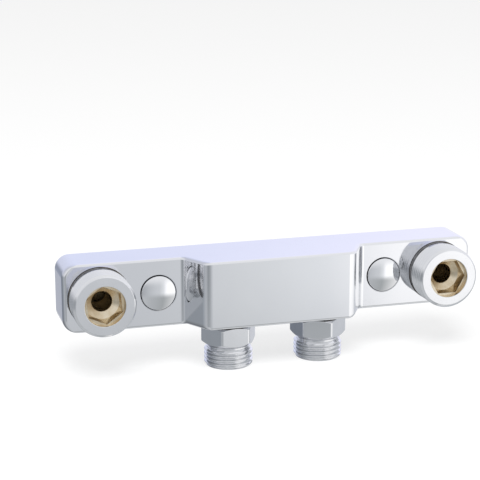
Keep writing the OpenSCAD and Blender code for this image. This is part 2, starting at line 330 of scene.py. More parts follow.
def stationAt(station, z):
    # a station of the plan outline at height z: point, normal and wear
    x, y = station["point"]
    nx, ny = station["normal"]
    if station["kind"] == "end":
        inX, steepX = roundEdge(z, body["cornerRound"])
        inY, steepY = roundEdge(z, body["edgeRound"])
        if station["back"]:
            inY = 0.0
        x, y = x + inX, y + inY
        rise = -nx * steepX - ny * steepY
    else:
        radius = station["top"] if z > 0 else station["bottom"]
        inwards, rise = roundEdge(z, radius)
        x, y = x - nx * inwards, y - ny * inwards
    normal = np.array([nx, ny, math.copysign(rise, z)])
    normal /= np.linalg.norm(normal)
    worn = max(station["wear"], 2 * abs(normal[2]) * math.sqrt(max(0.0, 1 - normal[2] ** 2)))
    return np.array([x, y, z]), normal, worn


def endStations():
    across, deep = body["endRoundAcross"], body["endRound"]
    middle = (-halfLength + across, -body["barDepth"] + deep)
    stations = [{"kind": "end", "point": (-halfLength, 0.0), "normal": (-1.0, 0.0), "back": True, "wear": 0.0}]
    for step in range(9):
        t = math.pi / 2 * step / 8
        c, s = math.cos(t), math.sin(t)
        length = math.hypot(c / across, s / deep)
        stations.append({"kind": "end", "point": (middle[0] - across * c, middle[1] - deep * s),
                         "normal": (-c / across / length, -s / deep / length), "back": False,
                         "wear": math.sin(2 * t) * 0.6})
    return stations


def sideStations():
    lean = math.radians(body["blockSideAngle"])
    turn = math.pi / 2 - lean
    rootRound, cornerRound = body["blockRootRound"], body["blockCornerRound"]
    half = body["blockWidth"] / 2
    rootX = half + (blockDepth - body["barDepth"]) * math.tan(lean)
    rootMiddle = (-(rootX + rootRound * math.tan(turn / 2)), -body["barDepth"] - rootRound)
    cornerMiddle = (-(half - cornerRound * math.tan(turn / 2)), -blockDepth + cornerRound)
    stations = []
    for step in range(8):
        share = step / 7
        a = turn * share
        normal = (-math.sin(a), -math.cos(a))
        blend = share * share * (3 - 2 * share)
        stations.append({"kind": "side", "wear": 0.0, "normal": normal,
                         "point": (rootMiddle[0] - normal[0] * rootRound, rootMiddle[1] - normal[1] * rootRound),
                         "top": body["edgeRound"] + (body["sideEdgeRoundTop"] - body["edgeRound"]) * blend,
                         "bottom": body["edgeRound"] + (body["sideEdgeRoundBottom"] - body["edgeRound"]) * blend})
    for step in range(11):
        share = step / 10
        a = turn * (1 - share)
        normal = (-math.sin(a), -math.cos(a))
        blend = 1 - share * share * (3 - 2 * share)
        stations.append({"kind": "side", "wear": math.sin(math.pi * share) * 0.7, "normal": normal,
                         "point": (cornerMiddle[0] + normal[0] * cornerRound,
                                   cornerMiddle[1] + normal[1] * cornerRound),
                         "top": body["edgeRound"] + (body["sideEdgeRoundTop"] - body["edgeRound"]) * blend,
                         "bottom": body["edgeRound"] + (body["sideEdgeRoundBottom"] - body["edgeRound"]) * blend})
    return stations


def mirrored(point):
    return np.array([-point[0], point[1], point[2]])


def addStations(skin, stations, heights):
    # the patch between stations and heights, on the left and mirrored on the right
    grid = [[stationAt(station, z) for station in stations] for z in heights]
    points = [[cell[0] for cell in row] for row in grid]
    normals = [[cell[1] for cell in row] for row in grid]
    wear = [[cell[2] for cell in row] for row in grid]
    addPatch(skin, points, normals, wear)
    addPatch(skin, [[mirrored(p) for p in row] for row in points],
             [[mirrored(n) for n in row] for row in normals], wear)


def addCavity(skin, low, high, fronts=(), floors=(), backs=()):
    # the bare inside of a cast waterway, seen only through its bores
    corners = np.array([low, high])

    def corner(i, j, k):
        return np.array([corners[i][0], corners[j][1], corners[k][2]])

    walls = [
        ([corner(0, 0, 0), corner(1, 0, 0), corner(1, 0, 1), corner(0, 0, 1)], fronts, (0, 1, 0)),
        ([corner(0, 1, 0), corner(1, 1, 0), corner(1, 1, 1), corner(0, 1, 1)], backs, (0, -1, 0)),
        ([corner(0, 0, 0), corner(0, 1, 0), corner(0, 1, 1), corner(0, 0, 1)], (), (1, 0, 0)),
        ([corner(1, 0, 0), corner(1, 1, 0), corner(1, 1, 1), corner(1, 0, 1)], (), (-1, 0, 0)),
        ([corner(0, 0, 0), corner(1, 0, 0), corner(1, 1, 0), corner(0, 1, 0)], floors, (0, 0, 1)),
        ([corner(0, 0, 1), corner(1, 0, 1), corner(1, 1, 1), corner(0, 1, 1)], (), (0, 0, -1)),
    ]
    for outline, holes, normal in walls:
        addFlat(skin, outline, holes, normal, finish=1)


def makeBody():
    skin = newSkin()
    corner, edge = body["cornerRound"], body["edgeRound"]
    cornerStart, edgeStart = halfHeight - corner, halfHeight - edge
    heights = [cornerStart + corner * math.sin(math.radians(a)) for a in range(0, 51, 5)]
    heights += [edgeStart + edge * math.sin(math.radians(a)) for a in range(0, 91, 9)]
    everyHeight = [-z for z in reversed(heights)] + heights
    flatHeights = [z for z in everyHeight if abs(z) < edgeStart + 1e-9]
    ends, side = endStations(), sideStations()
    addStations(skin, ends, everyHeight)
    addStations(skin, side, everyHeight)
    wing = [ends[-1], side[0]]
    addStations(skin, wing, [z for z in everyHeight if z > edgeStart - 1e-9])
    addStations(skin, wing, [z for z in everyHeight if z < -edgeStart + 1e-9])
    front = [[stationAt(side[-1], z) for z in everyHeight]]
    points = [[cell[0], mirrored(cell[0])] for cell in front[0]]
    normals = [[cell[1], mirrored(cell[1])] for cell in front[0]]
    addPatch(skin, points, normals, [[cell[2], cell[2]] for cell in front[0]])

    # flat faces with their drilled seats
    rim = body["rim"]
    barFront = -body["barDepth"]
    for sign in sides.values():
        outlet = onFront(sign * body["outletSpacing"] / 2, barFront)
        screw = onFront(sign * body["screwSpacing"] / 2, barFront)
        outline = [stationAt(ends[-1], z)[0] for z in flatHeights]
        outline += [stationAt(side[0], z)[0] for z in reversed(flatHeights)]
        outline = [p * np.array([-sign, 1, 1]) for p in outline]
        holes = [circleLoop(outlet, body["outletSeat"][0] + rim),
                 circleLoop(screw, body["recess"][0] + body["recessBevel"])]
        addFlat(skin, outline, holes, (0, -1, 0))
    top = [stationAt(s, halfHeight)[0] for s in ends + side]
    outline = top + [mirrored(p) for p in reversed(top)]
    addFlat(skin, outline, [], (0, 0, 1))
    inlets = [underBlock(s * body["inletSpacing"] / 2, -body["inletSetback"], -halfHeight)
              for s in sides.values()]
    bottom = [stationAt(s, -halfHeight)[0] for s in ends + side]
    addFlat(skin, bottom + [mirrored(p) for p in reversed(bottom)],
            [circleLoop(place, body["inletSeat"][0] + rim) for place in inlets], (0, 0, -1))
    back = [stationAt(ends[0], z)[0] for z in everyHeight]
    screws = [onFront(s * body["screwSpacing"] / 2, barFront) for s in sides.values()]
    addFlat(skin, back + [mirrored(p) for p in reversed(back)],
            [circleLoop(place, body["screwHole"], -body["barDepth"]) for place in screws], (0, 1, 0))

    # seats, sockets and screw recesses
    outletSeat, outletSocket = body["outletSeat"], body["outletSocket"]
    inletSeat, inletSocket = body["inletSeat"], body["inletSocket"]
    recess, bevel, hole = body["recess"], body["recessBevel"], body["screwHole"]
    for sign, inlet, screw in zip(sides.values(), inlets, screws):
        outlet = onFront(sign * body["outletSpacing"] / 2, barFront)
        for place, seat, socket in ((outlet, outletSeat, outletSocket), (inlet, inletSeat, inletSocket)):
            turnPart(skin, place, [(seat[0] + rim, 0, 0), (seat[0], 0, rim), (seat[0], -seat[1] / 2, 0)])
            turnPart(skin, place, [(seat[0], -seat[1] / 2, 0), (seat[0], -seat[1], rim), (socket[0], -seat[1], rim),
                                   (socket[0], -socket[1], 0)], finish=1)
        turnPart(skin, screw, [(recess[0] + bevel, 0, 0), (recess[0], -bevel, 0.1), (recess[0], -2, 0)])
        turnPart(skin, screw, [(recess[0], -2, 0), (recess[0], -recess[1], 0.4), (hole, -recess[1], 0.2),
                               (hole, -body["barDepth"], 0)], finish=1)
        wall = body["wall"]
        ceiling = halfHeight - wall
        socketEnd = barFront + outletSocket[1]
        inner = [sign * wall, sign * (body["blockWidth"] / 2 - wall)]
        floor = -halfHeight + inletSocket[1]
        addCavity(skin, (min(inner), -blockDepth + wall, floor), (max(inner), -wall, ceiling),
                  floors=[circleLoop(inlet, inletSocket[0], -inletSocket[1])])
        outer = [sign * body["blockWidth"] / 2, sign * (body["outletSpacing"] / 2 + outletSocket[0])]
        boss = hole + wall
        bossDepths = (-outletSocket[1], -body["barDepth"] + wall)
        addCavity(skin, (min(outer), socketEnd, -ceiling), (max(outer), -wall, ceiling),
                  fronts=[circleLoop(outlet, outletSocket[0], -outletSocket[1]),
                          circleLoop(screw, boss, bossDepths[0])],
                  backs=[circleLoop(screw, boss, bossDepths[1])])
        turnPart(skin, screw, [(boss, bossDepths[1], 0), (boss, bossDepths[0], 0)], finish=1)
    return skin


# Outlet nipple: union thread outside, key socket inside, screw-in stub behind
nippleLow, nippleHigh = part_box("outlet_nipple_left")
outlet = {
    "reach": -nippleLow.y / mm - body["barDepth"],
    "thread": 13.15,
    "pitch": 1.814,
    "threadStart": 1.6,
    "face": 12.24,
    "bevel": 1.0,
    "mouth": 8.44,
    "mouthDepth": 1.8,
    "keyWidth": 14.0,
    "keyDepth": 6.6,
    "drillAngle": 31.0,
    "bore": 4.25,
    "stub": 10.48,
    "stubLength": 8.0,
    "groove": 1.2,
    "sealShows": 0.4,
    "turn": {"left": 36.0, "right": 0.0},
}


def rootOf(crest, pitch):
    return crest - 0.6403 * pitch


def ringRow(place, columns, radii, height):
    return [place["origin"] + place["u"] * (r * c) + place["v"] * (r * s) + place["w"] * height
            for (c, s), r in zip(columns, radii)]


def alikeRow(place, columns, out, along):
    return [place["u"] * (out * c) + place["v"] * (out * s) + place["w"] * along for c, s in columns]


def makeOutletNipple(side):
    skin = newSkin()
    place = onFront(sides[side] * body["outletSpacing"] / 2, -body["barDepth"])
    turn = math.radians(outlet["turn"][side])
    reach, start = outlet["reach"], -outlet["stubLength"]
    stubRoot, root = rootOf(outlet["stub"], outlet["pitch"]), rootOf(outlet["thread"], outlet["pitch"])
    shows = outlet["sealShows"]

    # outside, from the stub's end to the front
    turnPart(skin, place, [(outlet["bore"], start, 0), (stubRoot, start, 0)], turn=turn)
    threadPart(skin, place, outlet["stub"], outlet["pitch"], start, -outlet["groove"], stubRoot,
               outlet["stub"] - stubRoot, turn=turn)
    turnPart(skin, place, [(stubRoot, -outlet["groove"], 0), (stubRoot, shows, 0.15), (root, shows, 0.15),
                           (root, outlet["threadStart"], 0)], turn=turn)
    first, last = threadPart(skin, place, outlet["thread"], outlet["pitch"], outlet["threadStart"], reach,
                             outlet["face"], outlet["bevel"], turn=turn)
    columns = roundColumns(turn)
    lip = 0.18
    outer = [np.linalg.norm(p - place["origin"] - place["w"] * reach) for p in last[:-1]]
    slope = (outlet["thread"] - outlet["face"]) / outlet["bevel"]
    points = [ringRow(place, columns, outer, reach),
              ringRow(place, columns, [r - lip for r in outer], reach),
              ringRow(place, columns, [outlet["mouth"] + lip] * len(columns), reach)]
    normals = [alikeRow(place, columns, 1, slope), alikeRow(place, columns, 0, 1), alikeRow(place, columns, 0, 1)]
    worn = [[0.8] * len(columns), [0.0] * len(columns), [0.0] * len(columns)]
    addPatch(skin, points, normals, worn, closed=True)

    # mouth, key socket, drill point and bore
    floor, socket = reach - outlet["mouthDepth"], reach - outlet["keyDepth"]
    flat = outlet["keyWidth"] / 2
    turnPart(skin, place, [(outlet["mouth"] + lip, reach, 0), (outlet["mouth"], reach, lip),
                           (outlet["mouth"], reach - 0.5, 0)], turn=turn)
    turnPart(skin, place, [(outlet["mouth"], reach - 0.5, 0), (outlet["mouth"], floor, 0.1),
                           (outlet["mouth"] - 0.12, floor, 0)], finish=1, turn=turn)
    perSide = roundSteps // 6
    chamfer = 0.12
    for face in range(6):
        middle = turn + math.radians(60 * face + 30)
        angles = [middle + math.radians(60 * (i / perSide - 0.5)) for i in range(perSide + 1)]
        ways = [(math.cos(a), math.sin(a)) for a in angles]
        hexagon = [flat / math.cos(a - middle) for a in angles]
        wallNormal = -(place["u"] * math.cos(middle) + place["v"] * math.sin(middle))
        facing, inward = [place["w"]] * len(ways), [wallNormal] * len(ways)
        mouthRow = ringRow(place, ways, [outlet["mouth"] - 0.12] * len(ways), floor)
        lipRow = ringRow(place, ways, [r + chamfer for r in hexagon], floor)
        wallRow = ringRow(place, ways, hexagon, floor - chamfer)
        footRow = ringRow(place, ways, hexagon, socket)
        coneRow = ringRow(place, ways, [flat] * len(ways), socket)
        addPatch(skin, [mouthRow, lipRow, wallRow], [facing, facing, inward], [[0] * 17, [0.5] * 17, [0.3] * 17], 1)
        addPatch(skin, [wallRow, footRow], [inward, inward], 0, 1)
        addPatch(skin, [footRow, coneRow], [facing, facing], 0, 1)
    drill = socket - (flat - outlet["bore"]) * math.tan(math.radians(outlet["drillAngle"]))
    turnPart(skin, place, [(flat, socket, 0), (outlet["bore"], drill, 0.3), (outlet["bore"], start, 0)],
             finish=1, turn=turn)
    return skin


# Inlet nipple: hexagon, relief groove, pipe thread, screw-in stub above
inletLow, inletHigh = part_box("inlet_nipple_left")
inlet = {
    "hexWidth": 21.0,
    "hexHeight": 9.2,
    "hexCornerRound": 1.3,
    "hexTop": 10.2,               # radius where the upper bevel starts
    "topBevel": 30.0,
    "bottomBevel": 38.0,
    "thread": 10.38,
    "pitch": 1.814,
    "groove": 0.9,
    "neckDepth": 0.4,
    "end": -inletLow.z / mm - halfHeight,
    "endBevel": 1.0,
    "bore": 5.6,
    "boreBevel": 0.5,
    "stub": 8.33,
    "stubPitch": 1.337,
    "stubLength": 9.0,
    "stubGroove": 1.2,
    "turn": {"left": -2.0, "right": 19.0},
}


def hexColumns(width, cornerRound, turn):
    # points round a hexagon with rounded corners: way from the axis, radius and the flat's own normal
    flat = width / 2
    middle = (flat - cornerRound) / math.cos(math.radians(30))
    columns = []
    for face in range(6):
        facing = turn + math.radians(60 * face + 30)
        run = (flat - cornerRound) * math.tan(math.radians(30))
        for step in range(13):
            along = run * (step / 6 - 1)
            point = (flat * math.cos(facing) - along * math.sin(facing),
                     flat * math.sin(facing) + along * math.cos(facing))
            columns.append((point, (math.cos(facing), math.sin(facing)), 0.0))
        corner = facing + math.radians(30)
        for step in range(1, 6):
            a = facing + math.radians(60) * step / 6
            point = (middle * math.cos(corner) + cornerRound * math.cos(a),
                     middle * math.sin(corner) + cornerRound * math.sin(a))
            columns.append((point, (math.cos(a), math.sin(a)), math.sin(math.pi * step / 6)))
    return columns


def makeInletNipple(side):
    skin = newSkin()
    place = underBlock(sides[side] * body["inletSpacing"] / 2, -body["inletSetback"], -halfHeight)
    turn = math.radians(inlet["turn"][side])
    start, end, shows = -inlet["stubLength"], inlet["end"], outlet["sealShows"]
    stubRoot, root = rootOf(inlet["stub"], inlet["stubPitch"]), rootOf(inlet["thread"], inlet["pitch"])
    neck = root - inlet["neckDepth"]
    hexEnd = shows + inlet["hexHeight"]
    threadStart = hexEnd + inlet["groove"]

    # stub
    turnPart(skin, place, [(inlet["bore"], start, 0), (stubRoot, start, 0)], turn=turn)
    threadPart(skin, place, inlet["stub"], inlet["stubPitch"], start, -inlet["stubGroove"], stubRoot,
               inlet["stub"] - stubRoot, turn=turn)
    turnPart(skin, place, [(stubRoot, -inlet["stubGroove"], 0), (stubRoot, shows, 0.15), (inlet["hexTop"] - 1, shows, 0)],
             turn=turn)

    # hexagon with bevelled ends
    columns = hexColumns(inlet["hexWidth"], inlet["hexCornerRound"], turn)
    upper, lower = math.radians(inlet["topBevel"]), math.radians(inlet["bottomBevel"])
    soft = 0.14
    rows = {"points": [], "normals": [], "wear": []}
    for (px, py), (nx, ny), cornerWear in columns:
        radius = math.hypot(px, py)
        cx, cy = px / radius, py / radius
        top = shows + (radius - inlet["hexTop"]) * math.tan(upper)
        bottom = hexEnd - (radius - root) * math.tan(lower)
        outward = place["u"] * nx + place["v"] * ny
        radial = place["u"] * cx + place["v"] * cy
        topNormal = radial * math.sin(upper) - place["w"] * math.cos(upper)
        bottomNormal = radial * math.sin(lower) + place["w"] * math.cos(lower)
        spots = [
            (inlet["hexTop"], shows, topNormal, 0.0),
            (radius - soft, top - soft * math.tan(upper), topNormal, 0.0),
            (radius, top + soft, outward, 0.5),
            (radius, bottom - soft, outward, 0.5),
            (radius - soft, bottom + soft * math.tan(lower), bottomNormal, 0.0),
            (root, hexEnd, bottomNormal, 0.0),
        ]
        rows["points"].append([place["origin"] + radial * r + place["w"] * h for r, h, n, w in spots])
        rows["normals"].append([n for r, h, n, w in spots])
        rows["wear"].append([max(w, cornerWear) for r, h, n, w in spots])
    count = len(columns)
    grid = {key: [[rows[key][i % count][j] for j in range(6)] for i in range(count + 1)] for key in rows}
    addPatch(skin, grid["points"], grid["normals"], grid["wear"])
    ways = []
    for (px, py), _, _ in columns:
        radius = math.hypot(px, py)
        ways.append((px / radius, py / radius))
    faceDown, faceUp = [place["w"]] * count, [-place["w"]] * count
    hexTopRow = ringRow(place, ways, [inlet["hexTop"]] * count, shows)
    circle = circleLoop(place, inlet["hexTop"] - 1, shows, turn)
    addFlat(skin, hexTopRow, [circle], -place["w"])
    hexEndRow = ringRow(place, ways, [root] * count, hexEnd)
    addFlat(skin, hexEndRow, [circleLoop(place, neck, hexEnd, turn)], place["w"])

    # neck, pipe thread and end
    turnPart(skin, place, [(neck, hexEnd, 0), (neck, threadStart, 0.1), (root, threadStart, 0)], turn=turn)
    endFace = inlet["thread"] - inlet["endBevel"]
    first, last = threadPart(skin, place, inlet["thread"], inlet["pitch"], threadStart, end, endFace,
                             inlet["endBevel"], turn=turn)
    columns = roundColumns(turn)
    lip = 0.15
    outer = [np.linalg.norm(p - place["origin"] - place["w"] * end) for p in last[:-1]]
    mouth = inlet["bore"] + inlet["boreBevel"]
    points = [ringRow(place, columns, outer, end), ringRow(place, columns, [r - lip for r in outer], end),
              ringRow(place, columns, [mouth + lip] * len(columns), end)]
    normals = [alikeRow(place, columns, 1, 1), alikeRow(place, columns, 0, 1), alikeRow(place, columns, 0, 1)]
    addPatch(skin, points, normals, [[0.8] * len(columns), [0.0] * len(columns), [0.0] * len(columns)], closed=True)
    turnPart(skin, place, [(mouth + lip, end, 0), (mouth, end, lip), (inlet["bore"], end - inlet["boreBevel"], 0.1),
                           (inlet["bore"], start, 0)], finish=1, turn=turn)
    return skin


# Flat sealing rings
seal = {"thickness": 1.2, "round": 0.2, "gap": 0.3, "stubGap": 0.06}


def makeSeal(place, inner, outer):
    skin = newSkin()
    low = outlet["sealShows"] - seal["thickness"]
    high = outlet["sealShows"]
    rounding = seal["round"]
    middle = (inner + outer) / 2
    turnPart(skin, place, [(middle, low, 0), (outer, low, rounding), (outer, high, rounding), (inner, high, rounding),
                           (inner, low, rounding), (middle, low, 0)])
    return skin


# Screw cap: domed and turned, with a grooved skirt that holds a rubber ring
cap = {
    "radius": 7.3,
    "rise": 1.1,
    "edgeRise": 0.3,
    "edgeRound": 0.4,
    "thickness": 1.6,
    "skirt": 6.94,
    "skirtLength": 3.1,
    "groove": 5.88,
    "grooveSetback": 0.5,
    "grooveLength": 1.72,
    "hollow": 4.98,
    "ringRadius": 6.74,
    "ringThickness": 1.6,
    "domeSteps": 14,
}


def makeCap(side):
    skin = newSkin()
    place = onFront(sides[side] * body["screwSpacing"] / 2, -body["barDepth"])
    radius, edge = cap["radius"], cap["edgeRise"]
    height = cap["rise"] - edge
    dome = (radius * radius + height * height) / (2 * height)
    middle = cap["rise"] - dome
    slope = math.asin(radius / dome)
    reach = cap["edgeRound"] * math.tan((math.pi / 2 - slope) / 2)
    domeStart = radius - reach * math.cos(slope)
    back = edge - cap["thickness"]
    skirtBack = back - cap["skirtLength"]
    grooveFront = back - cap["grooveSetback"]
    grooveBack = grooveFront - cap["grooveLength"]
    turnPart(skin, place, [
        (0, back, 0), (cap["hollow"], back, 0.3), (cap["hollow"], skirtBack, 0.1), (cap["skirt"], skirtBack, 0.2),
        (cap["skirt"], grooveBack, 0.1), (cap["groove"], grooveBack, 0.1), (cap["groove"], grooveFront, 0.1),
        (cap["skirt"], grooveFront, 0.1), (cap["skirt"], back, 0.05), (radius, back, 0.15),
        (radius, edge, cap["edgeRound"]), (domeStart, middle + math.sqrt(dome ** 2 - domeStart ** 2), 0),
    ])
    columns = roundColumns()
    points, normals = [], []
    for step in range(cap["domeSteps"] + 1):
        r = domeStart * (1 - step / cap["domeSteps"])
        h = middle + math.sqrt(dome ** 2 - r * r)
        points.append(ringRow(place, columns, [r] * len(columns), h))
        normals.append(alikeRow(place, columns, r / dome, (h - middle) / dome))
    addPatch(skin, points, normals, 0, closed=True)
    return skin


def makeCapRing(side):
    skin = newSkin()
    place = onFront(sides[side] * body["screwSpacing"] / 2, -body["barDepth"])
    thick = cap["ringThickness"] / 2
    centre = cap["edgeRise"] - cap["thickness"] - cap["grooveSetback"] - cap["grooveLength"] / 2
    columns = roundColumns()
    points, normals = [], []
    for step in range(25):
        a = 2 * math.pi * step / 24
        c, s = math.cos(a), math.sin(a)
        points.append(ringRow(place, columns, [cap["ringRadius"] + thick * c] * len(columns), centre + thick * s))
        normals.append(alikeRow(place, columns, c, s))
    addPatch(skin, points, normals, 0, closed=True)
    return skin


# Shader groups that the materials share
def addNode(tree, kind, x, y, **values):
    made = tree.nodes.new(kind)
    made.location = (x, y)
    for name, value in values.items():
        setattr(made, name, value)
    return made


def newGroup(name, inputs, outputs):
    tree = bpy.data.node_groups.new(name, "ShaderNodeTree")
    for label, kind, value in inputs:
        made = tree.interface.new_socket(label, in_out="INPUT", socket_type=kind)
        if value is not None:
            made.default_value = value
    for label, kind in outputs:
        tree.interface.new_socket(label, in_out="OUTPUT", socket_type=kind)
    return tree, addNode(tree, "NodeGroupInput", -900, 0), addNode(tree, "NodeGroupOutput", 700, 0)


def mathNode(tree, operation, x, y, first=None, second=None, clamp=False):
    made = addNode(tree, "ShaderNodeMath", x, y, operation=operation, use_clamp=clamp)
    for index, value in enumerate((first, second)):
        if isinstance(value, (int, float)):
            made.inputs[index].default_value = value
        elif value is not None:
            tree.links.new(value, made.inputs[index])
    return made.outputs[0]


def mapNode(tree, x, y, value, fromLow, fromHigh, toLow=0.0, toHigh=1.0):
    made = addNode(tree, "ShaderNodeMapRange", x, y, interpolation_type="SMOOTHSTEP")
    tree.links.new(value, made.inputs["Value"])
    ends = {"From Min": fromLow, "From Max": fromHigh, "To Min": toLow, "To Max": toHigh}
    for label, number in ends.items():
        made.inputs[label].default_value = number
    return made.outputs[0]


def noiseNode(tree, x, y, vector, scale, detail=2.0, roughness=0.5, distortion=0.0):
    made = addNode(tree, "ShaderNodeTexNoise", x, y)
    tree.links.new(vector, made.inputs["Vector"])
    if isinstance(scale, (int, float)):
        made.inputs["Scale"].default_value = scale
    else:
        tree.links.new(scale, made.inputs["Scale"])
    made.inputs["Detail"].default_value = detail
    made.inputs["Roughness"].default_value = roughness
    made.inputs["Distortion"].default_value = distortion
    return made.outputs["Fac"]


def hairlineGroup():
    # hairline scratches from cleaning, in two crossing directions, and soft smears
    tree, given, out = newGroup("hairlines", [
        ("Vector", "NodeSocketVector", None),
        ("Scale", "NodeSocketFloat", 160.0),
        ("Amount", "NodeSocketFloat", 0.5),
    ], [("Scratches", "NodeSocketFloat"), ("Smears", "NodeSocketFloat")])
    lines = []
    for index, (degrees, stretch) in enumerate(((23.0, 0.035), (-61.0, 0.05))):
        angle = math.radians(degrees)
        turned = addNode(tree, "ShaderNodeMapping", -650, 200 - 260 * index)
        turned.inputs["Rotation"].default_value = (angle, angle * 0.7, angle)
        turned.inputs["Scale"].default_value = (1.0, stretch, 1.0)
        tree.links.new(given.outputs["Vector"], turned.inputs["Vector"])
        wavy = noiseNode(tree, -430, 200 - 260 * index, turned.outputs[0], given.outputs["Scale"], 3.0, 0.7, 0.4)
        offset = mathNode(tree, "SUBTRACT", -240, 200 - 260 * index, wavy, 0.5)
        away = mathNode(tree, "ABSOLUTE", -60, 200 - 260 * index, offset)
        lines.append(mapNode(tree, 120, 200 - 260 * index, away, 0.0, 0.012, 1.0, 0.0))
    both = mathNode(tree, "MAXIMUM", 320, 80, lines[0], lines[1])
    patchy = mapNode(tree, 120, -420, noiseNode(tree, -430, -420, given.outputs["Vector"], 55.0, 2.0), 0.45, 0.7)
    shown = mathNode(tree, "MULTIPLY", 500, 80, mathNode(tree, "MULTIPLY", 410, 0, both, patchy),
                     given.outputs["Amount"], clamp=True)
    smears = mapNode(tree, 120, -640, noiseNode(tree, -430, -640, given.outputs["Vector"], 28.0, 4.0, 0.6, 0.8),
                     0.3, 0.75)
    tree.links.new(shown, out.inputs["Scratches"])
    tree.links.new(smears, out.inputs["Smears"])
    return tree


def wornRoughnessGroup():
    # roughness from a clean value, raised by scratches, smears and worn edges
    tree, given, out = newGroup("wornRoughness", [
        ("Clean", "NodeSocketFloat", 0.05),
        ("Scratches", "NodeSocketFloat", 0.0),
        ("Smears", "NodeSocketFloat", 0.0),
        ("Edge", "NodeSocketFloat", 0.0),
        ("Smear Gain", "NodeSocketFloat", 0.03),
        ("Scratch Gain", "NodeSocketFloat", 0.15),
        ("Edge Gain", "NodeSocketFloat", 0.08),
    ], [("Roughness", "NodeSocketFloat")])
    total = given.outputs["Clean"]
    for index, (mask, gain) in enumerate((("Smears", "Smear Gain"), ("Scratches", "Scratch Gain"),
                                          ("Edge", "Edge Gain"))):
        part = mathNode(tree, "MULTIPLY", -500 + 300 * index, -200, given.outputs[mask], given.outputs[gain])
        total = mathNode(tree, "ADD", -350 + 300 * index, 0, total, part)
    tree.links.new(total, out.inputs["Roughness"])
    return tree


def toneGroup():
    # a colour that drifts between two close tones over the surface
    tree, given, out = newGroup("drift", [
        ("Vector", "NodeSocketVector", None),
        ("Scale", "NodeSocketFloat", 40.0),
        ("Light", "NodeSocketColor", (1, 1, 1, 1)),
        ("Dark", "NodeSocketColor", (0.5, 0.5, 0.5, 1)),
    ], [("Color", "NodeSocketColor"), ("Mask", "NodeSocketFloat")])
    cloud = noiseNode(tree, -430, -100, given.outputs["Vector"], given.outputs["Scale"], 5.0, 0.6)
    mask = mapNode(tree, -150, -100, cloud, 0.3, 0.7)
    blend = addNode(tree, "ShaderNodeMix", 200, 0, data_type="RGBA")
    tree.links.new(mask, blend.inputs["Factor"])
    tree.links.new(given.outputs["Dark"], blend.inputs["A"])
    tree.links.new(given.outputs["Light"], blend.inputs["B"])
    tree.links.new(blend.outputs["Result"], out.inputs["Color"])
    tree.links.new(mask, out.inputs["Mask"])
    return tree


groups = {"hairlines": hairlineGroup(), "wornRoughness": wornRoughnessGroup(), "drift": toneGroup()}


def useGroup(tree, name, x, y, **values):
    made = addNode(tree, "ShaderNodeGroup", x, y, node_tree=groups[name])
    for label, value in values.items():
        socket = made.inputs[label.replace("_", " ")]
        if isinstance(value, bpy.types.NodeSocket):
            tree.links.new(value, socket)
        else:
            socket.default_value = value
    return made


def newMaterial(name):
    material = bpy.data.materials.new(name)
    material.use_nodes = True
    tree = material.node_tree
    shader = tree.nodes["Principled BSDF"]
    place = addNode(tree, "ShaderNodeTexCoord", -1100, 0)
    edge = addNode(tree, "ShaderNodeAttribute", -1100, -300, attribute_name="edge")
    return material, tree, shader, place.outputs["Object"], edge.outputs["Fac"]


metals = {
    "chromeCasting": {
        "light": (0.84, 0.845, 0.86, 1), "dark": (0.81, 0.815, 0.835, 1), "drift": 22.0, "clean": 0.045,
        "smear": 0.03, "scratch": 0.1, "edge": 0.03, "lines": 150.0, "amount": 0.5, "wave": 60.0,
        "waveHeight": 0.0015, "lineHeight": 0.012,
    },
    "chromeTurned": {
        "light": (0.82, 0.825, 0.84, 1), "dark": (0.78, 0.785, 0.8, 1), "drift": 60.0, "clean": 0.07,
        "smear": 0.05, "scratch": 0.12, "edge": 0.06, "lines": 260.0, "amount": 0.6, "wave": 120.0,
        "waveHeight": 0.001, "lineHeight": 0.01,
    },
    "chromeCap": {
        "light": (0.85, 0.855, 0.87, 1), "dark": (0.82, 0.825, 0.84, 1), "drift": 50.0, "clean": 0.035,
        "smear": 0.03, "scratch": 0.12, "edge": 0.03, "lines": 260.0, "amount": 0.6, "wave": 90.0,
        "waveHeight": 0.001, "lineHeight": 0.01,
    },
    "bareBrass": {
        "light": (0.83, 0.74, 0.58, 1), "dark": (0.62, 0.5, 0.33, 1), "drift": 140.0, "clean": 0.2,
        "smear": 0.15, "scratch": 0.15, "edge": 0.05, "lines": 500.0, "amount": 0.8, "wave": 300.0,
        "waveHeight": 0.01, "lineHeight": 0.03,
    },
    "castBrass": {
        "light": (0.5, 0.4, 0.24, 1), "dark": (0.3, 0.22, 0.12, 1), "drift": 300.0, "clean": 0.5,
        "smear": 0.2, "scratch": 0.1, "edge": 0.1, "lines": 500.0, "amount": 0.3, "wave": 900.0,
        "waveHeight": 0.08, "lineHeight": 0.02,
    },
}


